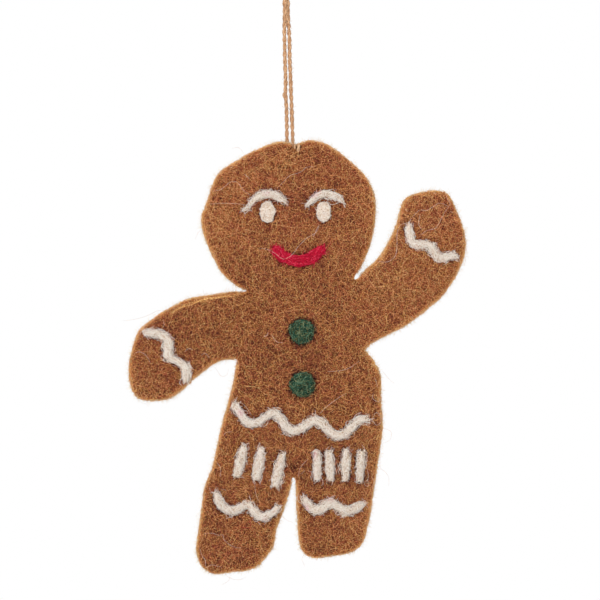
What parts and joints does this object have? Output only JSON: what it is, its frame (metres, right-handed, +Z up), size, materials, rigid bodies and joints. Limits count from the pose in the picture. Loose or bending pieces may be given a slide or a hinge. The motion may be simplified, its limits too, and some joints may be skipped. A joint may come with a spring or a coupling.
{
  "type": "felt christmas ornament",
  "caption": "Flat gingerbread figure of thick brown felt with needle-felted icing, face and buttons, hung on a jute twine loop.",
  "frame": {"origin": "the point of a hook or twig that the twine's loop hangs from, on the inside of the loop's top", "axes": "+Z up, -Y is the way the figure's face looks, +X to the viewer's right"},
  "size_m": [0.0967, 0.006, 0.1878],
  "materials": {
    "brown_felt": "thick felt of mixed brown and ochre wool, hairy, quite matt",
    "white_wool": "warm white wool roving, needle-felted, matt",
    "red_wool": "crimson wool, needle-felted, matt",
    "green_wool": "dark green wool with lighter green fibres, matt",
    "jute_twine": "laid tan jute twine, slightly hairy"
  },
  "bodies": {
    "loop": {"hanging_loop": "jute_twine"},
    "knot": {"loop_knot": "jute_twine"},
    "strands": {"left_strand": "jute_twine", "right_strand": "jute_twine"},
    "figure": {"felt_body": "brown_felt", "left_eye": "white_wool", "right_eye": "white_wool", "left_brow": "white_wool", "right_brow": "white_wool", "mouth": "red_wool", "upper_button": "green_wool", "lower_button": "green_wool", "left_cuff_icing": "white_wool", "right_cuff_icing": "white_wool", "waist_icing": "white_wool", "left_leg_stripe_1": "white_wool", "left_leg_stripe_2": "white_wool", "left_leg_stripe_3": "white_wool", "right_leg_stripe_1": "white_wool", "right_leg_stripe_2": "white_wool", "right_leg_stripe_3": "white_wool", "right_leg_stripe_4": "white_wool", "left_hem_icing": "white_wool", "right_hem_icing": "white_wool", "head_stitch": "jute_twine"}
  },
  "joints": [
    {"name": "loop_sway", "type": "hinge", "parent": "loop", "child": "knot", "pos_m": [0, 0, -0.017], "axis": [0, 1, 0], "range_deg": [-90, 90]},
    {"name": "loop_swing", "type": "hinge", "parent": "knot", "child": "strands", "pos_m": [0, 0, -0.017], "axis": [1, 0, 0], "range_deg": [-90, 90]},
    {"name": "figure_twist", "type": "hinge", "parent": "strands", "child": "figure", "pos_m": [0.00095, 0, -0.062], "axis": [0, 0, 1], "range_deg": [-180, 180]}
  ]
}
